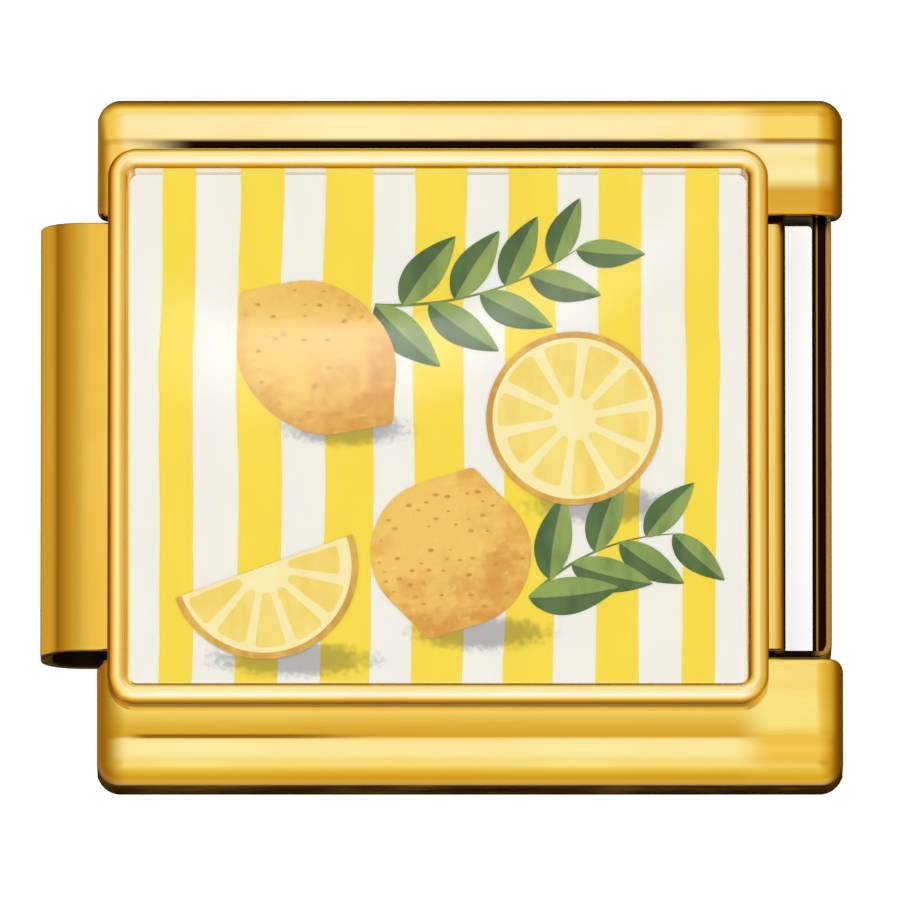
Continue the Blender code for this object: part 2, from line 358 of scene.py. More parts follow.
def polished_gold(name, tone, low_painted_shade, foot, crest, grain, smooth=0.10, rough=0.20,
                  shaded=None):
    """Mirror-polished gold plating with faint polishing lines.

    The colour deepens from the crest's height down to the foot's, a painted shade on the lower
    sides. Grain stretches the polishing lines, and shaded adds each piece's painted shade and
    painted reflections.
    """
    material, nodes = shader_tree(name)
    place = nodes.xyz(nodes.get('ShaderNodeTexCoord', output='Object'))
    base = nodes.mixed(nodes.ranged(place[2], foot, crest), low_painted_shade, tone)
    clouds = nodes.ranged(nodes.noise((0.45, 0.45, 0.45), 1.0, 4.0), 0.3, 0.7, 0.93, 1.0)
    base = nodes.mixed(1.0, base, nodes.get('ShaderNodeCombineColor', Red=1.0, Green=clouds,
                                            Blue=clouds ** 2.0), 'MULTIPLY')
    if shaded is not None:
        base = shaded(nodes, place, base)
    lines = nodes.noise(grain, 1.0, 5.0, 0.6)
    smudges = nodes.noise((1.1, 1.6, 1.1), 1.0, 3.0)
    nodes.principled(Base_Color=base, Metallic=1.0,
                     Roughness=nodes.ranged(lines * 0.5 + smudges * 0.5, 0.35, 0.65,
                                            smooth, rough),
                     Normal=nodes.bump(lines, 0.5, 0.0012 * MM))
    return material


def painted_shade_inside():
    """Dark metal inside the tube, a painted shade where light does not reach."""
    material, nodes = shader_tree("painted shade inside")
    mottle = nodes.noise((3.0, 3.0, 3.0), 1.0, 4.0)
    base = nodes.ramp(mottle, ((0.3, (0.006, 0.003, 0.001)), (0.7, (0.030, 0.014, 0.004))))
    nodes.principled(Base_Color=base, Metallic=0.8,
                     Roughness=nodes.ranged(mottle, 0.3, 0.7, 0.45, 0.7),
                     Normal=nodes.bump(mottle, 0.4, 0.003 * MM))
    return material


def rail_section(shell):
    """List the rail's outer section as (distance across, height) pairs."""
    edge_steps, web_steps, bead_steps, side_steps, lower_steps = 8, 20, 14, 22, 12
    bead_curve, shoulder = 1.2, 0.43
    crest_height = SHELL_HIGH.z
    half_width = (SHELL_HIGH.y - SHELL_LOW.y) / 2
    edge = shell.notch_half + shell.notch_edge
    section = arc((edge, shell.web_top - shell.notch_edge),
                  (shell.notch_edge, shell.notch_edge), 180, 90, edge_steps)
    for step in range(1, web_steps + 1):
        part = step / web_steps
        across = edge + (shell.crease - edge) * part
        section.append((across, shell.web_top - shell.web_dish * math.sin(math.pi * part)))
    for step in range(1, bead_steps):
        part = step / bead_steps
        across = shell.crease + (shell.bead_crest - shell.crease) * part
        rise = 1 - (1 - part) ** bead_curve
        section.append((across, shell.web_top + (crest_height - shell.web_top) * rise))
    foot = shell.round_over_foot + (crest_height - shell.round_over_foot) * shoulder
    section += arc((shell.bead_crest, foot),
                   (half_width - shell.bead_crest, crest_height - foot), 90, 0, side_steps)
    lower = shell.lower_rounding
    section += arc((half_width - lower, SHELL_LOW.z + lower), (lower, lower), 0, -90,
                   lower_steps)
    section.append((shell.notch_half, SHELL_LOW.z))
    return section


def rounding_drop(distance, radius):
    """How far a quarter-round edge has fallen at a distance from its end."""
    if distance >= radius:
        return 0.0
    return radius - math.sqrt(radius ** 2 - (radius - distance) ** 2)


def rail_ring(shell, section, x, distance, side):
    """Place the rail's section at X, shaped for its distance from the nearer end."""
    foot = shell.round_over_foot
    half_width = (SHELL_HIGH.y - SHELL_LOW.y) / 2
    height_left = 1 - rounding_drop(distance, shell.end_rounding) / (shell.web_top - foot)
    outer_shift = rounding_drop(distance, shell.plan_corner)
    inner_shift = rounding_drop(distance, shell.notch_corner)
    ring = []
    for across, height in section:
        if height > foot:
            height = foot + (height - foot) * height_left
        if across > shell.bead_crest:
            part = (across - shell.bead_crest) / (half_width - shell.bead_crest)
            across -= outer_shift * part
        elif across < shell.notch_half + shell.notch_corner:
            across += inner_shift
        shift = shell.notch_shift * (half_width - across) / (half_width - shell.notch_half)
        ring.append((x, side * across + shift, height))
    return ring


def rail_mesh(shell, name, side):
    """Draw one rail along X, with its ends rounded down and its corners rounded off."""
    section = rail_section(shell)
    steps = 16
    distances = [shell.end_rounding * (1 - math.cos(math.radians(90 * step / steps)))
                 for step in range(steps + 1)]
    rings = [rail_ring(shell, section, SHELL_LOW.x + distance, distance, side)
             for distance in distances]
    rings += [rail_ring(shell, section, SHELL_HIGH.x - distance, distance, side)
              for distance in reversed(distances)]
    return loft(name, rings)


def scratch_object(name, mesh):
    """Link a mesh to the scene until it has served as a tool."""
    helper = bpy.data.objects.new(name, mesh)
    bpy.context.scene.collection.objects.link(helper)
    return helper


def block(name, low, high):
    """Make a block that is only added to or cut from another piece."""
    maker = bmesh.new()
    bmesh.ops.create_cube(maker, size=1.0)
    sizes = [upper - lower for lower, upper in zip(low, high)]
    bmesh.ops.scale(maker, vec=sizes, verts=maker.verts)
    bmesh.ops.translate(maker, vec=[(lower + upper) / 2 for lower, upper in zip(low, high)],
                        verts=maker.verts)
    return scratch_object(name, close_mesh(name, maker))


def shell_mesh(shell):
    """Join the two rails by the web, and hollow them from below."""
    body = scratch_object("shell_body", rail_mesh(shell, "far_rail", 1))
    near = scratch_object("near_rail", rail_mesh(shell, "near_rail", -1))
    sheet = shell.sheet
    reach = 1.0 * MM
    skin = 0.01 * MM
    web_reach = shell.notch_half + 0.30 * MM
    web_bottom = shell.web_top - sheet
    inside = (SHELL_HIGH.y - SHELL_LOW.y) / 2 - sheet
    flange_top = SHELL_LOW.z + sheet
    overlap = sheet / 4
    left, right = SHELL_LOW.x, SHELL_HIGH.x
    inset = 0.06 * MM
    tools = [
        ('UNION', near),
        ('UNION', block("web", (FRAME_LOW.x + inset, -web_reach, web_bottom + skin),
                        (FRAME_HIGH.x - inset, web_reach, shell.web_top - skin))),
        ('DIFFERENCE', block("mouths", (left - reach, -inside + sheet, flange_top),
                             (right + reach, inside - sheet, shell.lip_bottom))),
        ('DIFFERENCE', block("channels", (left + shell.plan_corner, -inside, flange_top),
                             (right - shell.plan_corner, inside, web_bottom - sheet))),
        ('DIFFERENCE', block("under_web",
                             (left + sheet, -inside + overlap + sheet,
                              shell.lip_bottom - overlap),
                             (right - sheet, inside - overlap - sheet, web_bottom))),
        ('DIFFERENCE', block("underside", (left - reach, -shell.flange_inner,
                                           SHELL_LOW.z - reach),
                             (right + reach, shell.flange_inner, flange_top + overlap))),
    ]
    for operation, tool in tools:
        boolean = body.modifiers.new(tool.name, 'BOOLEAN')
        boolean.operation = operation
        boolean.solver = 'MANIFOLD'
        boolean.object = tool
    mesh = plain_mesh(body, "shell")
    for tool in [tool for _, tool in tools] + [body]:
        bpy.data.objects.remove(tool, do_unlink=True)
    shade_smoothly(mesh)
    return mesh


def plain_mesh(source, name):
    """Turn an object with live modifiers into one plain mesh in place."""
    bpy.context.view_layer.update()
    evaluated = source.evaluated_get(bpy.context.evaluated_depsgraph_get())
    mesh = bpy.data.meshes.new_from_object(evaluated)
    mesh.transform(source.matrix_world)
    mesh.name = name
    return mesh


def geometry_tree(name, inputs):
    """Start a Geometry Nodes tree with named inputs, and give it with their wires."""
    kinds = {float: 'Float', int: 'Int', type(None): 'Material'}
    tree = bpy.data.node_groups.new(name, 'GeometryNodeTree')
    tree.interface.new_socket("Geometry", in_out='INPUT', socket_type='NodeSocketGeometry')
    tree.interface.new_socket("Geometry", in_out='OUTPUT', socket_type='NodeSocketGeometry')
    for label, default in inputs.items():
        socket = tree.interface.new_socket(
            label, in_out='INPUT', socket_type='NodeSocket' + kinds[type(default)])
        if default is not None:
            socket.default_value = default
    nodes = Nodes(tree)
    given = {wire.socket.name: wire for wire in nodes.split('NodeGroupInput')}
    return tree, nodes, given


def run_tree(tree, source, values, name):
    """Run a tree on an object, and give the plain mesh that it makes."""
    modifier = source.modifiers.new(tree.name, 'NODES')
    modifier.node_group = tree
    for item in tree.interface.items_tree:
        if item.item_type == 'SOCKET' and item.in_out == 'INPUT' and item.name in values:
            modifier[item.identifier] = values[item.name]
    mesh = plain_mesh(source, name)
    source.modifiers.clear()
    bpy.data.objects.remove(source, do_unlink=True)
    return mesh


def finish_tree(nodes, geometry, material):
    """End a tree with realized instances and the material."""
    realized = nodes.shape('RealizeInstances', Geometry=geometry)
    finished = nodes.shape('SetMaterial', Geometry=realized, Material=material)
    nodes.add('NodeGroupOutput', {0: finished})


def swept_section_tree():
    """Sweep a rounded flat section along a path whose corners it rounds first."""
    tree, nodes, given = geometry_tree("swept_section", {
        "Corner Radius": 0.0001, "Corner Steps": 16, "Section Width": 0.0002,
        "Section Height": 0.0005, "Top Rounding": 0.00005, "Bottom Rounding": 0.00002,
        "Rounding Steps": 12, "Material": None})
    path = nodes.shape('FilletCurve', Curve=given["Geometry"], Count=given["Corner Steps"],
                       Radius=given["Corner Radius"] * nodes.shape('InputRadius'),
                       mode='POLY')
    path = nodes.shape('SetCurveRadius', Curve=path, Radius=1.0)
    path = nodes.shape('SetCurveNormal', Curve=path, mode='Z_UP')
    section = nodes.shape('CurvePrimitiveQuadrilateral', Width=given["Section Width"],
                          Height=given["Section Height"])
    # The sweep turns the section over, so its lower side becomes the top
    height = nodes.xyz(nodes.shape('InputPosition'))[1]
    becomes_top = nodes.get('FunctionNodeCompare', A=height, B=0.0, data_type='FLOAT',
                            operation='LESS_THAN')
    radius = nodes.shape('Switch', {'Switch': becomes_top, 'True': given["Top Rounding"],
                                    'False': given["Bottom Rounding"]}, input_type='FLOAT')
    section = nodes.shape('FilletCurve', Curve=section, Count=given["Rounding Steps"],
                          Radius=radius, Limit_Radius=True, mode='POLY')
    swept = nodes.shape('CurveToMesh', Curve=path, Profile_Curve=section, Fill_Caps=True)
    finish_tree(nodes, swept, given["Material"])
    return tree


def path_object(name, points, closed, radii=None):
    """Make a curve object with one straight-edged spline, and each corner's radius."""
    data = bpy.data.curves.new(name, 'CURVE')
    data.dimensions = '3D'
    spline = data.splines.new('POLY')
    spline.points.add(len(points) - 1)
    for index, point in enumerate(points):
        spline.points[index].co = (point[0], point[1], 0.0, 1.0)
        spline.points[index].radius = radii[index] if radii else 1.0
    spline.use_cyclic_u = closed
    return scratch_object(name, data)


def swept_mesh(name, tree, points, closed, values, height=0.0, upright=False, radii=None):
    """Sweep the section along a flat path, at a height or turned to run in XZ."""
    mesh = run_tree(tree, path_object(name, points, closed, radii), values, name)
    maker = bmesh.new()
    maker.from_mesh(mesh)
    for vertex in maker.verts:
        x, y, z = vertex.co
        vertex.co = (x, z + height, y) if upright else (x, y, z + height)
    bpy.data.meshes.remove(mesh)
    return close_mesh(name, maker)


# Painted reflections and shade across the shell, multiplied into the plating's colour, by
# millimetres off the middle, right of the frame and elsewhere
WING_PAINTED_REFLECTIONS = (
    (-4.50, (0.96, 0.92, 0.60)), (-4.43, (0.96, 0.98, 0.55)), (-4.34, (0.87, 0.76, 0.35)),
    (-4.25, (0.90, 0.75, 0.30)), (-4.06, (1.0, 0.86, 0.38)), (-3.96, (0.90, 0.74, 0.28)),
    (-3.88, (0.93, 0.83, 0.34)), (-3.74, (1.0, 1.03, 0.80)), (-2.92, (1.0, 1.0, 0.78)),
    (-2.80, (1.0, 1.0, 1.0)), (2.90, (0.80, 0.56, 0.16)), (3.28, (0.76, 0.52, 0.13)),
    (3.44, (1.0, 1.1, 1.35)), (3.86, (1.03, 1.14, 1.50)), (3.91, (0.42, 0.22, 0.02)),
    (3.94, (0.42, 0.22, 0.02)), (3.96, (0.97, 0.84, 0.36)), (4.22, (0.97, 0.84, 0.36)),
    (4.31, (0.76, 0.61, 0.20)), (4.39, (1.0, 1.0, 0.8)),
)
MIDDLE_PAINTED_REFLECTIONS = (
    (-4.50, (0.96, 0.92, 0.60)), (-4.40, (0.88, 0.79, 0.38)), (-4.34, (0.89, 0.79, 0.37)),
    (-4.26, (1.0, 0.94, 0.60)), (-4.15, (1.06, 1.16, 1.55)), (-3.98, (1.06, 1.16, 1.55)),
    (-3.93, (1.0, 1.0, 1.0)), (-3.90, (0.74, 0.50, 0.08)), (-3.75, (0.80, 0.60, 0.17)),
    (-3.57, (0.94, 0.82, 0.43)), (-3.48, (1.0, 1.0, 1.0)), (3.89, (1.0, 1.0, 1.0)),
    (3.92, (0.60, 0.40, 0.09)), (3.96, (1.0, 1.0, 1.0)),
)


class MakeShell(bpy.types.Operator):
    """Make the stamped shell with its two rails"""
    bl_idname = "bracelet_link.make_shell"
    bl_label = "Shell"

    def execute(self, context):
        shell = context.scene.link_shell
        # These colours are painted shade: on the lower sides, along the near crease and on the
        # ends, and a painted shadow at the frame's foot and the notch walls
        low_painted_shade, crease_painted_shade = (0.60, 0.33, 0.07), (0.28, 0.11, 0.004)
        end_painted_shade, painted_shadow_dark = (0.42, 0.20, 0.02), (0.010, 0.003, 0.001)

        def shaded(nodes, place, base):
            x, y, z = place
            width = SHELL_HIGH.y - SHELL_LOW.y
            wing = nodes.ranged(x, 3.75 * MM, 4.3 * MM)
            # Painted reflections and shade, multiplied in across the shell
            for tones, amount in ((WING_PAINTED_REFLECTIONS, wing), (MIDDLE_PAINTED_REFLECTIONS, 1.0 - wing)):
                bands = [(off_middle * MM / width + 0.5, tone) for off_middle, tone in tones]
                base = nodes.mixed(amount, base,
                                   nodes.ramp((y - SHELL_LOW.y) / width, bands), 'MULTIPLY')
            # A painted shade line along the near crease
            crease = (nodes.ranged(abs(y + 3.90 * MM), 0.010 * MM, 0.045 * MM, 1.0, 0.0)
                      * nodes.ranged(x, -4.1 * MM, -3.8 * MM)
                      * nodes.ranged(x, -2.2 * MM, -0.6 * MM, 1.0, 0.0))
            base = nodes.mixed(crease, base, crease_painted_shade)
            # Painted shade on the rounded ends
            right_end = nodes.ranged(x, SHELL_HIGH.x - 0.20 * MM, SHELL_HIGH.x - 0.04 * MM)
            left_width = nodes.math(
                'MINIMUM', nodes.ranged(y, -3.4 * MM, 2.0 * MM, 0.42 * MM, 0.21 * MM),
                nodes.ranged(y, 3.4 * MM, 4.2 * MM, 0.42 * MM, 0.11 * MM))
            left_end = nodes.ranged((x - SHELL_LOW.x) / left_width, 0.2, 1.0, 1.0, 0.0)
            base = nodes.mixed(right_end + left_end, base, end_painted_shade)
            # A painted shadow along the frame's far foot, and painted shade on the notch walls
            frame_foot_shadow = (nodes.ranged(y, FRAME_HIGH.y - 0.05 * MM, FRAME_HIGH.y)
                    * nodes.ranged(y, shell.crease, shell.crease + 0.05 * MM, 1.0, 0.0)
                    * nodes.ranged(abs(x), 3.2 * MM, 4.1 * MM, 1.0, 0.0))
            notch_wall = (nodes.ranged(abs(y - shell.notch_shift), shell.notch_half,
                                       shell.notch_half + 0.02 * MM, 1.0, 0.0)
                          * nodes.ranged(z, shell.web_top - 0.05 * MM,
                                         shell.web_top - 0.02 * MM, 1.0, 0.0))
            return nodes.mixed(nodes.math('MAXIMUM', frame_foot_shadow, notch_wall), base, painted_shadow_dark)

        gold = polished_gold("stamped shell gold", shell.gold, low_painted_shade, foot=SHELL_LOW.z,
                             crest=1.35 * MM, grain=(0.5, 14.0, 6.0), shaded=shaded)
        new_piece("polished_shell", shell_mesh(shell), (gold,), "link",
                  ("shell",))
        return {'FINISHED'}


# How far the sleeve's right edge stands out past the solid's rounding
SLEEVE_REACH = 0.035 * MM
# Painted shade and painted reflections along the sleeve, multiplied into its colour, from its
# left edge to its right
SLEEVE_PAINTED_SHADE = (
    (0.0, (0.95, 0.95, 0.9)), (0.013, (0.92, 0.92, 0.9)), (0.020, (0.55, 0.45, 0.3)),
    (0.0235, (0.36, 0.23, 0.06)), (0.028, (0.45, 0.32, 0.12)), (0.036, (0.58, 0.44, 0.18)),
    (0.043, (0.68, 0.54, 0.24)), (0.055, (0.74, 0.66, 0.32)), (0.068, (0.93, 0.80, 0.40)),
    (0.10, (1.0, 0.88, 0.50)), (0.96, (1.0, 0.97, 1.0)), (0.9900, (1.0, 0.97, 1.0)),
    (0.9942, (0.55, 0.50, 0.50)), (0.9972, (0.05, 0.02, 0.01)),
)


class MakeSleeve(bpy.types.Operator):
    """Make the flat tube under the shell"""
    bl_idname = "bracelet_link.make_sleeve"
    bl_label = "Sleeve"

    def execute(self, context):
        sleeve = context.scene.link_sleeve
        half = sleeve.sheet / 2
        low_x, high_x = SLEEVE_LOW.x, SLEEVE_HIGH.x + SLEEVE_REACH
        # The flank colour is painted shade on the sleeve's lower side
        low_painted_shade, tight, least_inward = (0.70, 0.40, 0.09), 0.15, 0.1 * MM

        def shaded(nodes, place, base):
            # Multiply in the sleeve's painted shade and painted reflections
            along = (place[0] - low_x) / (high_x - low_x)
            return nodes.mixed(1.0, base, nodes.ramp(along, SLEEVE_PAINTED_SHADE), 'MULTIPLY')

        gold = polished_gold("rolled sleeve gold", sleeve.gold, low_painted_shade, foot=0.0,
                             crest=0.9 * MM, grain=(9.0, 0.5, 9.0), smooth=0.14,
                             rough=0.26, shaded=shaded)
        corners = box_corners((low_x, 0.0), (high_x, SLEEVE_HIGH.z), half)
        mesh = swept_mesh("sleeve", swept_section_tree(), corners, True, {
            "Corner Radius": sleeve.rounding - half, "Corner Steps": 20,
            "Section Width": sleeve.sheet, "Section Height": SLEEVE_HIGH.y - SLEEVE_LOW.y,
            "Top Rounding": sleeve.rim, "Bottom Rounding": sleeve.rim,
            "Rounding Steps": 5, "Material": gold,
        }, (SLEEVE_LOW.y + SLEEVE_HIGH.y) / 2, upright=True, radii=(1.0, tight, tight, 1.0))
        new_piece("rolled_sleeve", mesh, (gold, painted_shade_inside()), "link",
                  ("sleeve",))
        middle_x, middle_z = (SLEEVE_LOW.x + SLEEVE_HIGH.x) / 2, SLEEVE_HIGH.z / 2
        # Faces that look into the tube take the painted shade inside
        for face in mesh.polygons:
            towards_middle = ((middle_x - face.center.x) * face.normal.x
                              + (middle_z - face.center.z) * face.normal.z)
            face.material_index = int(towards_middle > least_inward)
        return {'FINISHED'}


class MakeStaples(bpy.types.Operator):
    """Make the two flat-wire staples"""
    bl_idname = "bracelet_link.make_staples"
    bl_label = "Staples"

    def execute(self, context):
        sleeve = context.scene.link_sleeve
        half = sleeve.wire / 2
        # Dark is painted shade, and the flank colour painted shade on the lower side
        dark, low_painted_shade = (0.012, 0.004, 0.001), (0.50, 0.27, 0.05)
        # The far leg is drawn wider and the near base further in, to carry painted shade into
        # the window's dark gaps
        painted_shadow_filling = base_shift = 0.075 * MM

        def far_shade(nodes, place, base):
            # Painted shade away from a thin painted highlight along the far leg's ridge
            off_ridge = abs(place[0] - (FAR_HIGH.x - 0.03 * MM))
            return nodes.mixed(nodes.ranged(off_ridge, 0.004 * MM, 0.016 * MM), base, dark)

        def near_shade(nodes, place, base):
            # Painted shade on the near staple everywhere but its outer leg
            leg = nodes.ranged(place[0], NEAR_HIGH.x - 2 * sleeve.bend,
                               NEAR_HIGH.x - sleeve.wire)
            return nodes.mixed(leg, dark, base)

        for name, low, high, extra, shade in (
                ("far_staple", FAR_LOW, FAR_HIGH, painted_shadow_filling, far_shade),
                ("near_staple", NEAR_LOW, NEAR_HIGH, 0.0, near_shade)):
            gold = polished_gold(name.replace("_", " ") + " gold", sleeve.wire_gold, low_painted_shade,
                                 foot=0.0, crest=1.2 * MM, grain=(9.0, 0.6, 9.0),
                                 smooth=0.16, rough=0.30, shaded=shade)
            if extra:
                base, tip = high.y - half, low.y
            else:
                base, tip = low.y + half + base_shift, high.y
            inner, outer = low.x + half, high.x - half + extra / 2
            corners = [(inner, tip), (inner, base), (outer, base), (outer, tip)]
            mesh = swept_mesh(name, swept_section_tree(), corners, False, {
                "Corner Radius": sleeve.bend, "Corner Steps": 12,
                "Section Width": sleeve.wire + extra, "Section Height": high.z - low.z,
                "Top Rounding": half / 2, "Bottom Rounding": half / 2,
                "Rounding Steps": 4, "Material": gold,
            }, (low.z + high.z) / 2)
            new_piece("polished_" + name, mesh, (gold,), "hooks", (name,))
        return {'FINISHED'}


# Painted shade on the frame, from its level crest to its upright sides
RIM_PAINTED_SHADE = (
    (0.0, (1.0, 1.0, 1.0)), (0.22, (0.95, 0.86, 0.6)), (0.52, (0.82, 0.60, 0.25)),
    (0.75, (0.64, 0.40, 0.12)), (0.92, (0.42, 0.21, 0.04)), (1.0, (0.24, 0.10, 0.015)),
)
# Painted shade on its near outer side, from the shell up
NEAR_SIDE_PAINTED_SHADE = (
    (0.0, (1.0, 0.85, 0.42)), (0.42, (0.95, 0.68, 0.24)), (0.60, (0.10, 0.03, 0.0)),
    (1.0, (0.02, 0.005, 0.0)),
)


class MakeFrame(bpy.types.Operator):
    """Make the raised frame round the picture"""
    bl_idname = "bracelet_link.make_frame"
    bl_label = "Frame"

    def execute(self, context):
        picture = context.scene.link_picture
        half = picture.rim / 2
        near_inner_painted_shade, far_inner_painted_reflection = (0.16, 0.07, 0.008), (1.0, 0.98, 0.92)

        def shaded(nodes, place, base):
            _, y, z = place
            towards_x, towards_y, _ = nodes.xyz(
                nodes.get('ShaderNodeNewGeometry', output='Normal'))
            # Painted shade that deepens as the surface turns away from the crest
            slope = nodes.math('MAXIMUM', abs(towards_x - 0.20), towards_y * -1.0)
            amount = nodes.ranged(slope, 0.42, 0.98, smooth=False)
            base = nodes.mixed(1.0, base, nodes.ramp(amount, RIM_PAINTED_SHADE), 'MULTIPLY')
            # A painted shade line on the near inner edge
            inner = nodes.ranged(y, -3.0 * MM, -3.1 * MM) * nodes.ranged(towards_y, 0.62, 0.85)
            base = nodes.mixed(inner, base, near_inner_painted_shade)
            # The far inner wall is painted pale, standing in for the print's reflection
            upright = nodes.ranged(towards_y, -0.94, -0.99)
            base = nodes.mixed(nodes.ranged(y, 3.0 * MM, 3.1 * MM) * upright, base,
                               far_inner_painted_reflection)
            # Painted shade on the near outer side
            up = nodes.ranged(z, 1.9 * MM, 2.43 * MM, smooth=False)
            return nodes.mixed(nodes.ranged(y, -3.4 * MM, -3.5 * MM) * upright, base,
                               nodes.ramp(up, NEAR_SIDE_PAINTED_SHADE))

        gold = polished_gold("picture frame gold", picture.gold, picture.gold,
                             foot=FRAME_LOW.z, crest=FRAME_HIGH.z, grain=(3.0, 3.0, 3.0),
                             smooth=0.12, rough=0.2, shaded=shaded)
        corners = box_corners(FRAME_LOW, FRAME_HIGH, half)
        mesh = swept_mesh("frame", swept_section_tree(), corners, True, {
            "Corner Radius": picture.corner - half, "Corner Steps": 24,
            "Section Width": picture.rim, "Section Height": FRAME_HIGH.z - FRAME_LOW.z,
            "Top Rounding": half * 0.999, "Bottom Rounding": 0.01 * MM,
            "Rounding Steps": 14, "Material": gold,
        }, (FRAME_LOW.z + FRAME_HIGH.z) / 2)
        rim = new_piece("polished_frame", mesh, (gold,), "link",
                        ("picture_frame",))
        rim.visible_glossy = rim.visible_diffuse = rim.visible_shadow = False
        return {'FINISHED'}


def matt_paint(nodes, base, speck):
    """End a material in flat paint, a little uneven with its specks."""
    nodes.principled(Base_Color=base, Roughness=nodes.ranged(speck, 0.3, 0.7, 0.5, 0.65),
                     Specular_IOR_Level=0.0)


def painted(name, tone, shade, mottle=0.5, grain=2.2):
    """Flat, hand-painted colour with soft washes of a second shade."""
    material, nodes = shader_tree(name)
    wash = nodes.noise((1.0, 0.35, 1.0), grain, 5.0, 0.6)
    speck = nodes.noise((1.0, 1.0, 1.0), 16.0, 3.0, 0.6)
    amount = (nodes.ranged(wash, 0.35, 0.7, 0.0, mottle)
              + nodes.ranged(speck, 0.45, 0.75, 0.0, 0.12))
    matt_paint(nodes, nodes.mixed(amount, tone, shade), speck)
    return material


def stripes_tree():
    """Lay uneven painted stripes side by side."""
    tree, nodes, given = geometry_tree("painted_stripes", {
        "Count": 7, "Pitch": 0.001, "Width": 0.0005, "Length": 0.006, "Crowding": 0.0,
        "Narrowing": 0.0, "Wobble": 0.00003, "Lean": 0.0, "Seed": 4.0, "Material": None})
    step = nodes.shape('InputIndex') - (given["Count"] - 1.0) * 0.5
    across = step * given["Pitch"] - step * step * step * given["Crowding"]
    points = nodes.shape('MeshLine', Count=given["Count"], mode='OFFSET')
    points = nodes.shape('SetPosition', Geometry=points, Position=nodes.vector(across))
    strip = nodes.shape('MeshGrid', Size_X=given["Width"], Size_Y=given["Length"],
                        Vertices_X=2, Vertices_Y=90)
    narrow = 1.0 - step * step * given["Narrowing"]
    strips = nodes.shape('InstanceOnPoints', Points=points, Instance=strip,
                         Scale=nodes.vector(narrow, 1.0, 1.0))
    strips = nodes.shape('RealizeInstances', Geometry=strips)
    spot = nodes.shape('InputPosition')
    waver = nodes.get('ShaderNodeTexNoise', output='Fac', Vector=spot, W=given["Seed"],
                      Scale=420.0, Detail=3.0, noise_dimensions='4D')
    sideways = (waver - 0.5) * given["Wobble"] + nodes.xyz(spot)[1] * given["Lean"]
    strips = nodes.shape('SetPosition', Geometry=strips, Offset=nodes.vector(sideways))
    finish_tree(nodes, strips, given["Material"])
    return tree


# Height of each painted layer above the plate, in millimetres
LAYERS = {"stripes": 0.002, "shadow": 0.004, "stem": 0.0055, "leaves": 0.006,
          "fruit": 0.009, "pores": 0.011, "slice": 0.013}


def layer(name):
    """Give the height at which a layer of paint lies."""
    return PLATE_HIGH.z + LAYERS[name] * MM


class MakePrint(bpy.types.Operator):
    """Finish the picture plate and lay the striped ground on it"""
    bl_idname = "bracelet_link.make_print"
    bl_label = "Striped Print"

    def execute(self, context):
        picture = context.scene.link_picture
        paper = painted("printed paper", picture.paper, (0.86, 0.84, 0.76), 0.35)
        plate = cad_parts["picture_plate"]
        plate.data.materials.clear()
        plate.data.materials.append(paper)
        yellow = painted("painted stripe", picture.stripe, (0.93, 0.68, 0.040), 0.4)
        overhang, left_shift = 0.018 * MM, 0.033 * MM
        mesh = run_tree(stripes_tree(), carrier("stripe_carrier"), {
            "Count": picture.stripes, "Pitch": picture.pitch,
            "Width": picture.stripe_width,
            "Length": PLATE_HIGH.y - PLATE_LOW.y + 2 * overhang,
            "Crowding": 0.0065 * MM, "Narrowing": 0.038, "Wobble": 0.16 * MM,
            "Lean": 0.007, "Seed": float(picture.seed), "Material": yellow,
        }, "stripes")
        moved(mesh, -left_shift, (PLATE_LOW.y + PLATE_HIGH.y) / 2, layer("stripes"))
        new_piece("printed_stripes", mesh, (yellow,), "link")
        return {'FINISHED'}


def leaf_tree():
    """Set two-tone leaves along a bent stem, to either side in turn."""
    tree, nodes, given = geometry_tree("sprig_leaves", {
        "Count": 9, "Stem Length": 0.002, "Leaf Length": 0.001, "Leaf Width": 0.0002,
        "Spread": 0.9, "Bend": 0.0003, "Layer": 0.0000001, "Seed": 2, "Light": None,
        "Dark": None})
    count, stem, bend = given["Count"], given["Stem Length"], given["Bend"]
    taper, fullness, bow, jitter = 0.8, 0.85, 0.12, 0.16
    foot_size, tip_loss = 1.08, 0.25
    leaf = nodes.add('GeometryNodeJoinGeometry')
    for side, tone in ((1.0, "Light"), (-1.0, "Dark")):
        grid = nodes.shape('MeshGrid', Size_X=1.0, Size_Y=1.0, Vertices_X=2, Vertices_Y=28)
        grid_x, grid_y, _ = nodes.xyz(nodes.shape('InputPosition'))
        across, along = (grid_x + 0.5) * side, grid_y + 0.5
        bulge = nodes.math('SINE', along ** taper * math.pi) ** fullness
        sway = along * along * bow
        place = nodes.vector(
            across * bulge * given["Leaf Width"] + sway * given["Leaf Length"],
            along * given["Leaf Length"])
        half = nodes.shape('SetPosition', Geometry=grid, Position=place)
        nodes.fill(leaf.inputs[0], nodes.shape('SetMaterial', Geometry=half,
                                               Material=given[tone]))
    index = nodes.shape('InputIndex')
    part = index / (count - 1.0)
    side = nodes.math('MODULO', index, 2.0) * 2.0 - 1.0
    off_middle = part - 0.5
    slope = off_middle * 8.0 * bend / stem
    turn = side * given["Spread"] + (nodes.random(given["Seed"], -jitter, jitter)
                                     - nodes.math('ARCTANGENT', slope))
    place = nodes.vector(off_middle * off_middle * 4.0 * bend, part * stem,
                         (count - index) * given["Layer"])
    points = nodes.shape('MeshLine', Count=count, mode='OFFSET')
    points = nodes.shape('SetPosition', Geometry=points, Position=place)
    size = foot_size - part * tip_loss
    leaves = nodes.shape('InstanceOnPoints', Points=points,
                         Instance=Wire(nodes, leaf.outputs[0]),
                         Rotation=nodes.vector(z=turn),
                         Scale=nodes.vector(side * size, size, 1.0))
    nodes.add('NodeGroupOutput', {0: nodes.shape('RealizeInstances', Geometry=leaves)})
    return tree


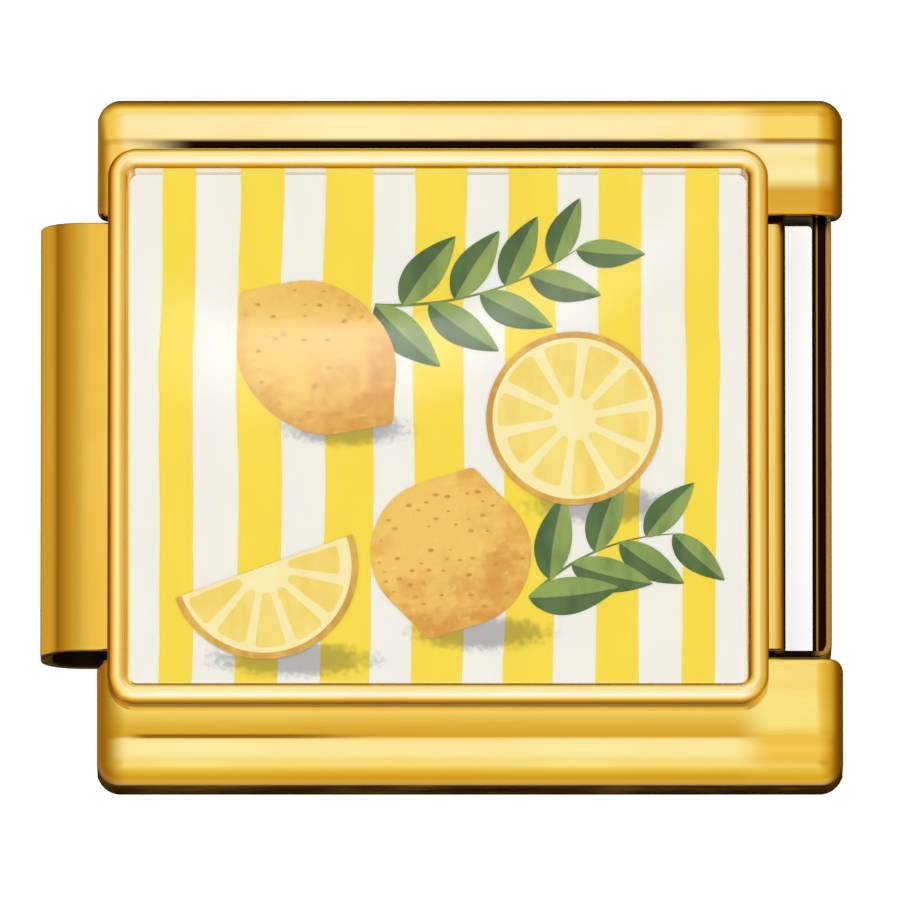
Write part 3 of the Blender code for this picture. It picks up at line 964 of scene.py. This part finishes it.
def slice_tree():
    """Cut a round or half slice: rind, pith and a ring of rounded segments."""
    tree, nodes, given = geometry_tree("fruit_slice", {
        "Segments": 10, "Radius": 0.001, "Sweep": 6.283, "Start": 0.0,
        "Layer": 0.0000006, "Seed": 3, "Rind": None, "Pith": None, "Flesh": None})
    radius, sweep, start = given["Radius"], given["Sweep"], given["Start"]
    pith_share, flesh_share, wedge_share, corner_share, gap_share = 0.93, 0.76, 0.84, 0.05, 0.10
    joined = nodes.add('GeometryNodeJoinGeometry')

    def sector(radius, sweep, start, corner=None):
        curve = nodes.shape('CurveArc', Resolution=64 if corner is None else 9,
                            Radius=radius, Start_Angle=start, Sweep_Angle=sweep,
                            Connect_Center=True)
        if corner is not None:
            curve = nodes.shape('FilletCurve', Curve=curve, Count=4, Radius=corner,
                                Limit_Radius=True, mode='POLY')
        return nodes.shape('FillCurve', Curve=curve)

    def lay(mesh, level, material):
        lift = nodes.vector(z=given["Layer"] * level)
        mesh = nodes.shape('Transform', Geometry=mesh, Translation=lift)
        nodes.fill(joined.inputs[0], nodes.shape('SetMaterial', Geometry=mesh,
                                                 Material=given[material]))

    lay(sector(radius, sweep, start), 0.0, "Rind")
    lay(sector(radius * pith_share, sweep, start), 1.0, "Pith")
    one = sweep / given["Segments"]
    wedge = sector(radius * flesh_share, one * wedge_share, one * (-wedge_share / 2),
                   radius * corner_share)
    wedge = nodes.shape('Transform', Geometry=wedge,
                        Translation=nodes.vector(radius * gap_share))
    turn = start + (nodes.shape('InputIndex') + 0.5) * one
    points = nodes.shape('MeshLine', Count=given["Segments"], Offset=(0.0, 0.0, 0.0),
                         mode='OFFSET')
    size = nodes.random(given["Seed"], 0.90, 1.04)
    flesh = nodes.shape('InstanceOnPoints', Points=points, Instance=wedge,
                        Rotation=nodes.vector(z=turn), Scale=nodes.vector(size, size, 1.0))
    lay(nodes.shape('RealizeInstances', Geometry=flesh), 2.0, "Flesh")
    nodes.add('NodeGroupOutput', {0: Wire(nodes, joined.outputs[0])})
    return tree


def flecks_tree():
    """Scatter small painted flecks over a flat shape."""
    tree, nodes, given = geometry_tree("painted_flecks", {
        "Spacing": 0.0001, "Density": 30000000.0, "Fleck Radius": 0.00003, "Seed": 7,
        "Material": None})
    points = nodes.shape('DistributePointsOnFaces', Mesh=given["Geometry"],
                         Distance_Min=given["Spacing"], Density_Max=given["Density"],
                         Seed=given["Seed"], distribute_method='POISSON')
    fleck = nodes.shape('MeshCircle', Vertices=9, Radius=given["Fleck Radius"],
                        fill_type='NGON')
    size = nodes.random(given["Seed"], 0.45, 1.35)
    flecks = nodes.shape('InstanceOnPoints', Points=points, Instance=fleck,
                         Scale=nodes.vector(size, size * 0.6, 1.0))
    finish_tree(nodes, flecks, given["Material"])
    return tree


def flat_mesh(name, outline, height, turn, middle):
    """Fill a flat outline at a height, turned and moved to its place."""
    maker = bmesh.new()
    maker.faces.new([maker.verts.new((
        middle[0] + x * math.cos(turn) - y * math.sin(turn),
        middle[1] + x * math.sin(turn) + y * math.cos(turn), height)) for x, y in outline])
    bmesh.ops.triangulate(maker, faces=maker.faces)
    mesh = bpy.data.meshes.new(name)
    maker.to_mesh(mesh)
    maker.free()
    for polygon in mesh.polygons:
        if polygon.normal.z < 0:
            polygon.flip()
    return mesh


def fruit_outline(half_width, half_height):
    """List the outline of an oval fruit with a small point at either end."""
    steps, narrowing, body, tip = 72, 0.5, 0.93, 0.10
    points = []
    for step in range(steps):
        angle = 2 * math.pi * step / steps
        upright = abs(math.sin(angle))
        points.append((half_width * math.cos(angle) * (1 - narrowing * upright ** 6),
                       half_height * math.sin(angle) * (body + tip * upright ** 14)))
    return points


def shaded_paint(name, light, dark, middle, reach, speck_tone):
    """Paint that darkens away from a lit spot, with brushed mottling."""
    material, nodes = shader_tree(name)
    spot = nodes.get('ShaderNodeTexCoord', output='Object')
    away = nodes.get('ShaderNodeVectorMath', {0: spot, 1: (*middle, PLATE_HIGH.z)},
                     output='Value', operation='DISTANCE')
    wash = nodes.noise((1.0, 1.0, 1.0), 2.6, 5.0, 0.65)
    amount = nodes.ranged(away / reach + nodes.ranged(wash, 0.3, 0.7, -0.25, 0.25), 0.25, 1.0)
    speck = nodes.noise((1.0, 1.0, 1.0), 9.0, 4.0, 0.7)
    base = nodes.mixed(nodes.ranged(speck, 0.55, 0.72, 0.0, 0.55),
                       nodes.mixed(amount, light, dark), speck_tone)
    matt_paint(nodes, base, speck)
    return material


def printed_shadow(name, middle, reach):
    """Thin grey wash that fades outwards and lets the stripes show."""
    material, nodes = shader_tree(name)
    spot = nodes.get('ShaderNodeMapping', Vector=nodes.get('ShaderNodeTexCoord',
                                                           output='Object'),
                     Location=(-middle[0] / reach[0], -middle[1] / reach[1], 0.0),
                     Scale=(1 / reach[0], 1 / reach[1], 0.0))
    away = nodes.get('ShaderNodeVectorMath', {0: spot}, output='Value', operation='LENGTH')
    grain = nodes.noise((1.0, 1.0, 1.0), 14.0, 2.0, 0.6)
    amount = nodes.ranged(away + nodes.ranged(grain, 0.3, 0.7, -0.12, 0.12),
                          0.45, 1.0, 1.0, 0.0)
    tint = nodes.mixed(amount, (1.0, 1.0, 1.0), (0.72, 0.72, 0.75))
    nodes.surface(nodes.get('ShaderNodeBsdfTransparent', Color=tint))
    return material


def carrier(name):
    """Make the empty host that a tree with no input geometry runs on."""
    return scratch_object(name, bpy.data.meshes.new(name))


def moved(mesh, x, y, z, turn=0.0):
    """Turn a flat mesh about Z and set it down at a place."""
    for vertex in mesh.vertices:
        old_x, old_y, old_z = vertex.co
        vertex.co = (x + old_x * math.cos(turn) - old_y * math.sin(turn),
                     y + old_x * math.sin(turn) + old_y * math.cos(turn), z + old_z)
    return mesh


def stem_mesh(length_up, bend):
    """Draw a bent stem, in millimetres, as a strip that narrows from foot to tip."""
    steps, foot_half, narrowing = 24, 0.022, 0.016
    rows = [(4 * bend * (step / steps - 0.5) ** 2, length_up * step / steps,
             foot_half - narrowing * step / steps) for step in range(steps + 1)]
    mesh = bpy.data.meshes.new("stem")
    mesh.from_pydata([((x + side * half) * MM, y * MM, 0.0)
                      for x, y, half in rows for side in (-1, 1)], [],
                     [(i, i + 1, i + 3, i + 2) for i in range(0, 2 * steps, 2)])
    return mesh


# The print's design in millimetres: middle, half sizes and turn of each whole fruit
WHOLE_FRUIT = (((-1.62, 1.02), (0.93, 1.26), 0.85), ((0.12, -1.55), (1.04, 1.12), -0.25))
# Middle, radius, number of segments, sweep and start of each cut fruit
CUT_FRUIT = (((1.72, 0.22), 1.14, 10, 360.0, 11.0), ((-2.30, -1.72), 1.22, 6, 180.0, 200.0))
# Foot of the stem, its length, turn and bend, and how many leaves it has
SPRIGS = (((-0.80, 1.50), 2.70, -1.30, -0.22, 9), ((1.05, -1.95), 2.05, -1.15, 0.20, 7))
# Each paint's two shades, how much of the second shows, and how fine its washes are
PAINTS = {
    "leaf light side": ((0.30, 0.40, 0.09), (0.15, 0.25, 0.05), 0.8, 4.0),
    "leaf dark side": ((0.10, 0.18, 0.04), (0.045, 0.09, 0.02), 0.8, 4.0),
    "painted stem": ((0.20, 0.27, 0.06), (0.11, 0.16, 0.03), 0.8, 4.0),
    "painted pores": ((0.62, 0.27, 0.03), (0.80, 0.45, 0.07), 0.9, 6.0),
    "painted rind": ((0.80, 0.47, 0.07), (0.58, 0.27, 0.03), 0.8, 4.0),
    "painted pith": ((0.96, 0.86, 0.45), (0.94, 0.80, 0.32), 0.6, 3.0),
    "painted flesh": ((0.95, 0.76, 0.20), (0.92, 0.64, 0.10), 0.9, 3.0),
}
PEEL_LIGHT, PEEL_DARK, PEEL_SPECK = (0.90, 0.58, 0.11), (0.72, 0.32, 0.035), (0.93, 0.70, 0.24)


def place_paint(name, mesh, *materials):
    """Make a painted mesh a piece of the print."""
    return new_piece(name, mesh, materials, "link")


def paint_shadow(index, middle, size):
    """Paint the soft shadow at the foot of a fruit."""
    shift, spread, half_height = 0.38, 1.05, 0.28
    centre = ((middle[0] + shift) * MM, (middle[1] - size) * MM)
    reach = (size * spread * MM, half_height * MM)
    mesh = flat_mesh("shadow", arc((0.0, 0.0), reach, 0, 354, 59), layer("shadow"), 0.0,
                     centre)
    shadow = place_paint("printed_shadow_%d" % index, mesh,
                         printed_shadow("printed shadow wash", centre, reach))
    shadow.visible_shadow = False


def paint_sprig(index, sprig, paints):
    """Paint a stem and the leaves along it."""
    foot, length_up, turn, bend, count = sprig
    light, dark, bark = paints
    foot_x, foot_y = foot[0] * MM, foot[1] * MM
    place_paint("printed_stem_%d" % index,
                moved(stem_mesh(length_up, bend), foot_x, foot_y, layer("stem"), turn), bark)
    leaves = run_tree(leaf_tree(), carrier("leaves"), {
        "Count": count, "Stem Length": length_up * MM, "Leaf Length": 1.08 * MM,
        "Leaf Width": 0.23 * MM, "Spread": 0.85, "Bend": bend * MM,
        "Layer": 0.0001 * MM, "Seed": 5 + index, "Light": light, "Dark": dark}, "leaves")
    place_paint("printed_leaves_%d" % index,
                moved(leaves, foot_x, foot_y, layer("leaves"), turn), light, dark)


def paint_whole_fruit(index, fruit, pore):
    """Paint a whole fruit, lit from its upper left, with pores in its peel."""
    middle, sizes, turn = fruit
    centre = (middle[0] * MM, middle[1] * MM)
    lit_spot = (centre[0] - 0.3 * MM, centre[1] + 0.4 * MM)
    peel = shaded_paint("painted peel", PEEL_LIGHT, PEEL_DARK, lit_spot, 1.75 * MM,
                        PEEL_SPECK)
    outline = fruit_outline(sizes[0] * MM, sizes[1] * MM)
    place_paint("printed_fruit_%d" % index,
                flat_mesh("fruit", outline, layer("fruit"), turn, centre), peel)
    pored_share = 0.91
    inner = [(x * pored_share, y * pored_share) for x, y in outline]
    host = scratch_object("peel_host", flat_mesh("peel_host", inner, layer("pores"), turn,
                                                 centre))
    flecks = run_tree(flecks_tree(), host, {
        "Spacing": 0.12 * MM, "Fleck Radius": 0.032 * MM, "Seed": 7 + index,
        "Material": pore}, "flecks")
    place_paint("printed_pores_%d" % index, flecks, pore)


def paint_cut_fruit(index, fruit, paints):
    """Paint a round or half slice."""
    middle, radius, segments, sweep, start = fruit
    rind, pith, flesh = paints
    cut = run_tree(slice_tree(), carrier("slice"), {
        "Segments": segments, "Radius": radius * MM, "Sweep": math.radians(sweep) - 1e-4,
        "Start": math.radians(start), "Layer": 0.001 * MM, "Seed": 3, "Rind": rind,
        "Pith": pith, "Flesh": flesh}, "slice")
    place_paint("printed_slice_%d" % index,
                moved(cut, middle[0] * MM, middle[1] * MM, layer("slice")), *paints)


class MakeFruit(bpy.types.Operator):
    """Paint a plain citrus design on the print"""
    bl_idname = "bracelet_link.make_fruit"
    bl_label = "Painted Citrus"

    def execute(self, context):
        light, dark, bark, pore, *cut_paints = (
            painted(name, *settings) for name, settings in PAINTS.items())
        washes = [(middle, sizes[0]) for middle, sizes, _ in WHOLE_FRUIT]
        washes += [(middle, radius) for middle, radius, *_ in CUT_FRUIT]
        for index, (middle, size) in enumerate(washes):
            paint_shadow(index, middle, size)
        for index, sprig in enumerate(SPRIGS):
            paint_sprig(index, sprig, (light, dark, bark))
        for index, fruit in enumerate(WHOLE_FRUIT):
            paint_whole_fruit(index, fruit, pore)
        for index, fruit in enumerate(CUT_FRUIT):
            paint_cut_fruit(index, fruit, cut_paints)
        return {'FINISHED'}


class MakeCover(bpy.types.Operator):
    """Make the clear domed cover"""
    bl_idname = "bracelet_link.make_cover"
    bl_label = "Clear Cover"

    def execute(self, context):
        picture = context.scene.link_picture
        half_x = (COVER_HIGH.x - COVER_LOW.x) / 2
        half_y = (COVER_HIGH.y - COVER_LOW.y) / 2
        middle = ((COVER_LOW.x + COVER_HIGH.x) / 2, (COVER_LOW.y + COVER_HIGH.y) / 2)
        corner_steps, spacing, dome_rings = 12, 0.25 * MM, 30
        corners = rounded_outline(half_x, half_y, picture.corner - picture.rim, corner_steps)
        outline = []
        for start, end in zip(corners, corners[1:] + corners[:1]):
            parts = max(1, round(math.dist(start, end) / spacing))
            outline += [(start[0] + (end[0] - start[0]) * part / parts,
                         start[1] + (end[1] - start[1]) * part / parts)
                        for part in range(parts)]
        rings = [[(x + middle[0], y + middle[1], COVER_LOW.z) for x, y in outline]]
        for ring in range(dome_rings):
            scale = 1 - ring / dome_rings
            points = []
            for edge_x, edge_y in outline:
                x, y = edge_x * scale, edge_y * scale
                dome = 1 - ((x / half_x) ** 2 + (y / half_y) ** 2) / 2
                points.append((x + middle[0], y + middle[1],
                               picture.cover_edge + picture.cover_rise * dome))
            rings.append(points)
        mesh = loft("cover", rings)
        material, nodes = shader_tree("clear resin")
        ripple = nodes.noise((0.5, 0.5, 0.5), 1.0, 2.0)
        gloss = nodes.get('ShaderNodeBsdfAnisotropic', Color=(1.0, 1.0, 1.0, 1.0),
                          Roughness=nodes.ranged(ripple, 0.3, 0.7, 0.03, 0.06),
                          Normal=nodes.bump(ripple, 0.3, 0.001 * MM))
        clear = nodes.get('ShaderNodeBsdfTransparent')
        outside = 1.0 - nodes.get('ShaderNodeNewGeometry', output='Backfacing')
        amount = nodes.get('ShaderNodeFresnel', IOR=1.4) * outside
        nodes.surface(nodes.get('ShaderNodeMixShader', {0: amount, 1: clear, 2: gloss}))
        cover = new_piece("domed_cover", mesh, (material,), "link",
                          ("clear_cover",))
        cover.visible_shadow = False
        return {'FINISHED'}


# Light from each side of the studio, by degrees off straight up, as seen in the gold
STUDIO_FAR = (
    (0, (1.04, 1.22, 1.50)), (9, (1.04, 1.22, 1.35)), (32, (0.98, 1.05, 0.9)),
    (59, (1.01, 1.085, 0.91)), (72, (0.90, 0.94, 0.45)), (86, (0.826, 0.69, 0.20)),
    (101, (0.56, 0.374, 0.04)), (122, (0.26, 0.18, 0.02)), (160, (0.01, 0.004, 0.0)),
)
STUDIO_NEAR = (
    (0, (1.04, 1.22, 1.50)), (5, (1.05, 1.28, 2.0)), (20, (1.06, 1.27, 1.9)),
    (45, (1.07, 1.19, 1.2)), (57, (1.01, 1.06, 0.67)), (82, (0.92, 0.88, 0.36)),
    (100, (0.83, 0.70, 0.19)), (114, (0.76, 0.58, 0.15)), (134, (0.84, 0.65, 0.24)),
    (157, (0.54, 0.45, 0.21)), (167, (0.02, 0.006, 0.0)),
)
STUDIO_RIGHT = (
    (0, (1.02, 1.05, 0.80)), (12, (0.95, 0.85, 0.38)), (32, (0.83, 0.70, 0.22)),
    (53, (0.75, 0.60, 0.15)), (75, (0.71, 0.53, 0.10)), (90, (0.60, 0.42, 0.05)),
    (105, (0.50, 0.34, 0.03)), (120, (0.42, 0.26, 0.02)), (136, (0.36, 0.21, 0.01)),
    (172, (0.05, 0.02, 0.0)),
)
STUDIO_LEFT = (
    (0, (1.02, 1.05, 0.80)), (10, (1.0, 0.98, 0.60)), (60, (0.95, 0.92, 0.42)),
    (85, (0.90, 0.82, 0.30)), (103, (0.76, 0.60, 0.15)), (144, (0.70, 0.54, 0.12)),
    (172, (0.05, 0.02, 0.0)),
)
# The brightest value in these tables, which the ramps are divided by
STUDIO_PEAK = 2.0
SOFTBOX_SIZE = (0.0706, 0.0483)
SOFTBOX_DISTANCE = 0.5
SOFTBOX_TILT = math.radians(11.37)
SOFTBOX_RADIANCE = 6.8
# Across the softbox: height of its curved upper edge, brightness there, depth of the fade
SOFTBOX_SHAPE = (
    (0.0, (0.66, 0.30, 0.48)), (0.033, (0.634, 0.45, 0.473)), (0.068, (0.587, 0.55, 0.468)),
    (0.133, (0.542, 0.71, 0.448)), (0.209, (0.516, 0.90, 0.412)), (0.317, (0.509, 0.98, 0.389)),
    (0.440, (0.511, 1.0, 0.347)), (0.502, (0.527, 1.0, 0.321)), (0.563, (0.552, 0.86, 0.312)),
    (0.655, (0.641, 0.66, 0.300)), (0.747, (0.701, 0.54, 0.306)), (0.808, (0.743, 0.42, 0.290)),
    (0.900, (0.870, 0.20, 0.236)), (0.969, (0.965, 0.08, 0.189)),
)


def studio_world():
    """Even white light for matt surfaces, and soft warm cards for what gold reflects."""
    world = bpy.data.worlds.new("studio")
    world.use_nodes = True
    world.cycles.sampling_method = 'NONE'
    nodes = Nodes(world.node_tree)
    x, y, z = nodes.xyz(nodes.get('ShaderNodeTexCoord', output='Generated'))
    off_top = nodes.math('ARCCOSINE', z) / math.pi
    far, near, right, left = (
        nodes.ramp(off_top, [(degrees / 180, [value / STUDIO_PEAK for value in tone])
                             for degrees, tone in stops])
        for stops in (STUDIO_FAR, STUDIO_NEAR, STUDIO_RIGHT, STUDIO_LEFT))
    x_square = x * x
    towards_end = x_square / (x_square + y * y + 1e-9)
    across = nodes.mixed(nodes.math('GREATER_THAN', y, 0.0), near, far)
    ends = nodes.mixed(nodes.math('GREATER_THAN', x, 0.0), left, right)
    even = nodes.get('ShaderNodeBackground', Color=(1.0, 1.0, 1.0, 1.0), Strength=1.0)
    cards = nodes.get('ShaderNodeBackground', Color=nodes.mixed(towards_end, across, ends),
                      Strength=STUDIO_PEAK)
    glossy = nodes.get('ShaderNodeLightPath', output='Is Glossy Ray')
    nodes.add('ShaderNodeOutputWorld', Surface=nodes.get('ShaderNodeMixShader', {
        0: glossy, 1: even, 2: cards}))
    bpy.context.scene.world = world


def cover_softbox():
    """Hang a softbox with a curved upper edge that shows in the cover alone."""
    light = bpy.data.lights.new("cover_softbox", 'AREA')
    light.shape = 'RECTANGLE'
    light.size, light.size_y = SOFTBOX_SIZE
    light.energy = SOFTBOX_RADIANCE * math.pi * light.size * light.size_y
    light.use_nodes = True
    nodes = Nodes(light.node_tree)
    u, v, _ = nodes.xyz(nodes.get('ShaderNodeNewGeometry', output='Parametric'))
    edge, brightness, fade = nodes.split('ShaderNodeSeparateColor',
                                         Color=nodes.ramp(u, SOFTBOX_SHAPE))
    below = edge - v
    upper = nodes.ranged(below, -0.012, 0.002)
    lower = nodes.ranged(below / fade, 0.1, 1.05, 1.0, 0.0)
    glow = nodes.get('ShaderNodeEmission', Color=(1.0, 1.0, 1.0, 1.0),
                     Strength=upper * lower * brightness)
    nodes.add('ShaderNodeOutputLight', Surface=glow)
    holder = bpy.data.objects.new("cover_softbox", light)
    holder.location = (0.0, SOFTBOX_DISTANCE * math.sin(SOFTBOX_TILT),
                       SOFTBOX_DISTANCE * math.cos(SOFTBOX_TILT))
    holder.rotation_euler = (-SOFTBOX_TILT, 0.0, 0.0)
    holder.visible_camera = False
    holder.visible_diffuse = False
    bpy.context.scene.collection.objects.link(holder)
    receivers = bpy.data.collections.new("cover_alone")
    receivers.objects.link(bpy.data.objects["domed_cover"])
    holder.light_linking.receiver_collection = receivers


class MakeStage(bpy.types.Operator):
    """Make the floor, the light and the camera"""
    bl_idname = "bracelet_link.make_stage"
    bl_label = "Stage"

    def execute(self, context):
        stage = context.scene.link_stage
        floor_radius, floor_gap, mottle = 1.5, 0.02 * MM, 0.985
        maker = bmesh.new()
        bmesh.ops.create_circle(maker, cap_ends=True, segments=96, radius=floor_radius)
        floor = scratch_object("floor", close_mesh("floor", maker))
        material, nodes = shader_tree("pale floor")
        tone = nodes.mixed(nodes.ranged(nodes.noise((0.2, 0.2, 0.2)), 0.3, 0.7),
                           stage.floor, [value * mottle for value in stage.floor])
        nodes.principled(Base_Color=tone, Roughness=0.9, Specular_IOR_Level=0.0,
                         Emission_Color=tone, Emission_Strength=0.75)
        floor.data.materials.append(material)
        floor.visible_glossy = False
        floor.location.z = -floor_gap
        studio_world()
        cover_softbox()

        lean = math.radians(stage.lean)
        camera = bpy.data.cameras.new("camera")
        camera.sensor_width = 36.0
        camera.lens = stage.lens
        distance = stage.lens * stage.view_width / camera.sensor_width
        camera.clip_start = 0.01
        camera.clip_end = 100.0
        holder = bpy.data.objects.new("camera", camera)
        context.scene.collection.objects.link(holder)
        aim_y = (stage.aim_up - stage.aim_height * math.sin(lean)) / math.cos(lean)
        holder.location = (stage.aim_across, aim_y - distance * math.sin(lean),
                           stage.aim_height + distance * math.cos(lean))
        holder.rotation_euler = (lean, 0.0, 0.0)
        context.scene.camera = holder
        context.scene.view_settings.view_transform = 'Standard'
        return {'FINISHED'}


OPERATORS = (MakeShell, MakeSleeve, MakeStaples, MakeFrame, MakePrint, MakeFruit,
             MakeCover, MakeStage)


class LinkPanel(bpy.types.Panel):
    """Lists the link's pieces in the sidebar"""
    bl_idname = "VIEW3D_PT_bracelet_link"
    bl_label = "Bracelet Link"
    bl_space_type = 'VIEW_3D'
    bl_region_type = 'UI'
    bl_category = "Bracelet Link"

    def draw(self, context):
        for operator in OPERATORS:
            self.layout.operator(operator.bl_idname)
        for group in SETTINGS:
            box = self.layout.box()
            settings = getattr(context.scene, group)
            for name in settings.__annotations__:
                box.prop(settings, name)


SETTINGS = {"link_shell": LinkShell, "link_sleeve": LinkSleeve,
            "link_picture": LinkPicture, "link_stage": LinkStage}


def register():
    """Register the classes and hang the settings on the scene."""
    for kind in (*SETTINGS.values(), *OPERATORS, LinkPanel):
        bpy.utils.register_class(kind)
    for name, kind in SETTINGS.items():
        setattr(bpy.types.Scene, name, PointerProperty(type=kind))


def unregister():
    """Take the settings and classes away again."""
    for name in SETTINGS:
        delattr(bpy.types.Scene, name)
    for kind in reversed((*SETTINGS.values(), *OPERATORS, LinkPanel)):
        bpy.utils.unregister_class(kind)


def main():
    """Make every piece."""
    register()
    for operator in OPERATORS:
        group, name = operator.bl_idname.split(".")
        getattr(getattr(bpy.ops, group), name)()


if __name__ == "__main__":
    main()
